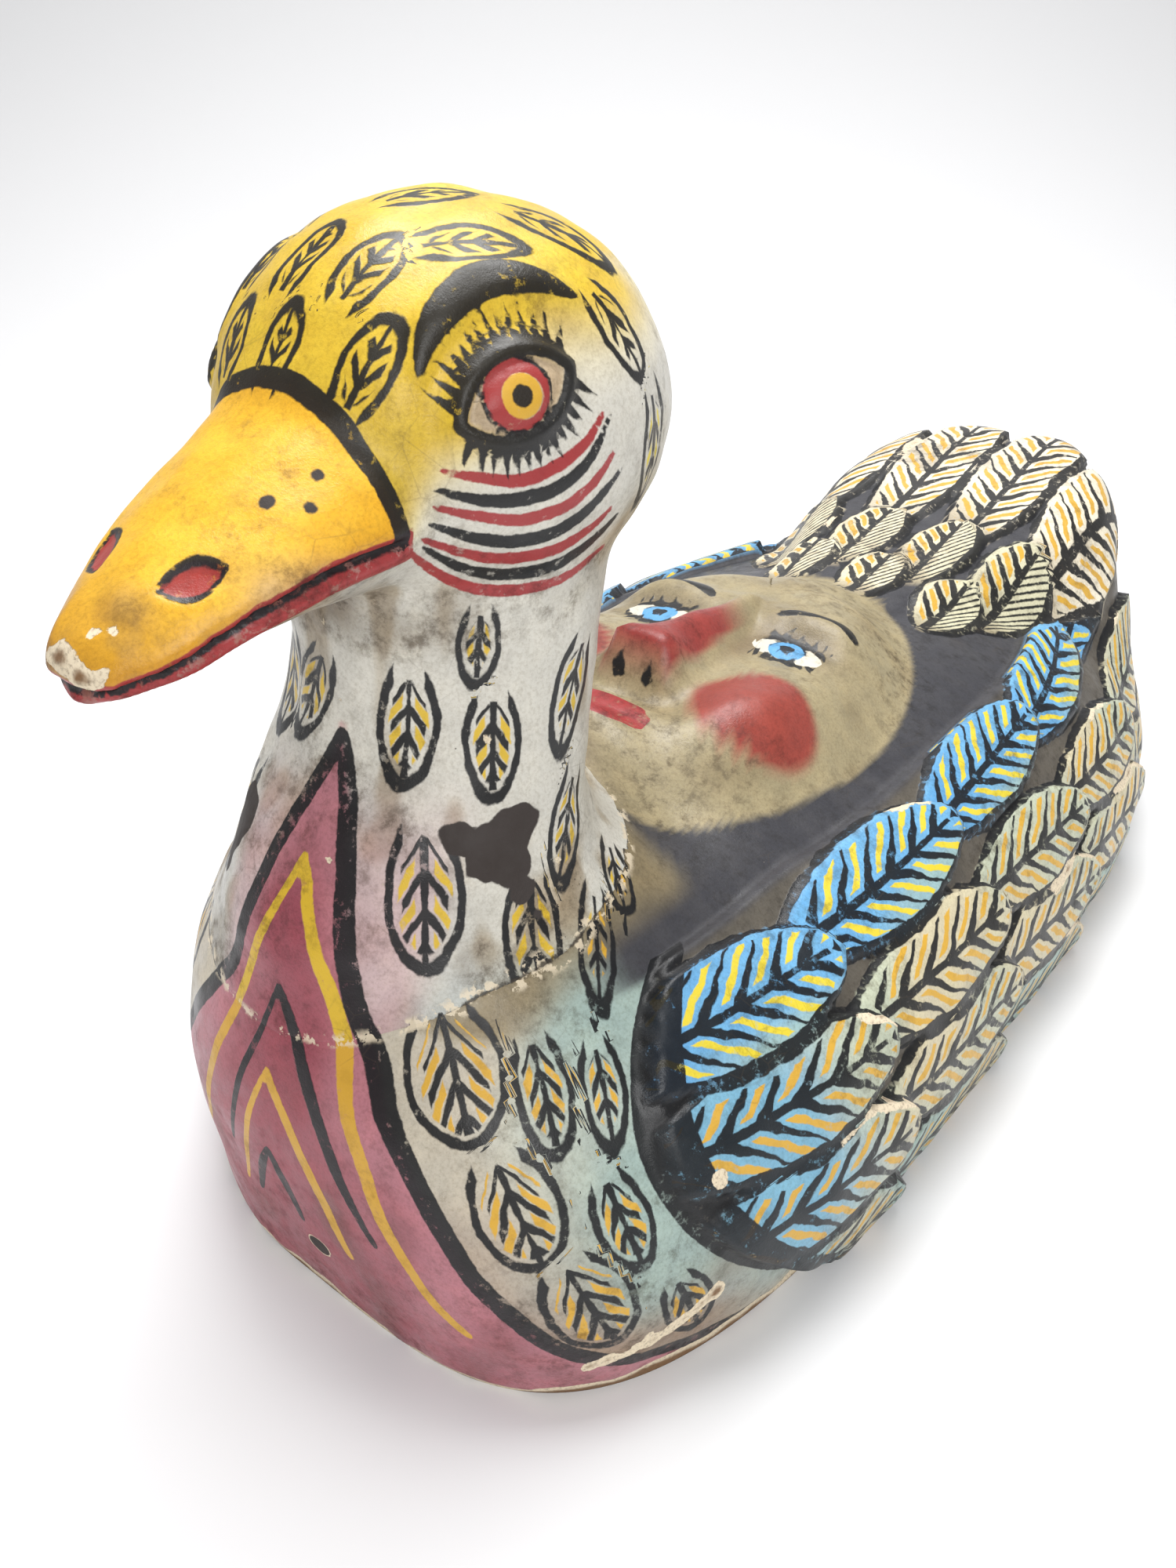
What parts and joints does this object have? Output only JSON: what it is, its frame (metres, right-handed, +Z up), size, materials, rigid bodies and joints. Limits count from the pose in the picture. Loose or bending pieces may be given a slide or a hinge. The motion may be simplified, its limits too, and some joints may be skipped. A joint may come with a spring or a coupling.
{
  "type": "duck mask",
  "caption": "Painted, carved wooden duck mask, hollow beneath: a duck with raised neck and head, feathered wings and tail, and a human face on its back.",
  "frame": {"origin": "centre of the bounding box, on the plane of the rim that the mask lies on", "axes": "+Z up, away from the wearer's face; +Y towards the duck's tail; +X towards the duck's left wing"},
  "size_m": [0.2548, 0.4893, 0.261],
  "materials": {
    "painted_shell": "worn satin paint on gesso over carved wood",
    "painted_neck": "worn satin paint on gesso over carved wood"
  },
  "bodies": {
    "root": {"mask_shell": "painted_shell", "neck_and_head": "painted_neck"}
  },
  "joints": []
}
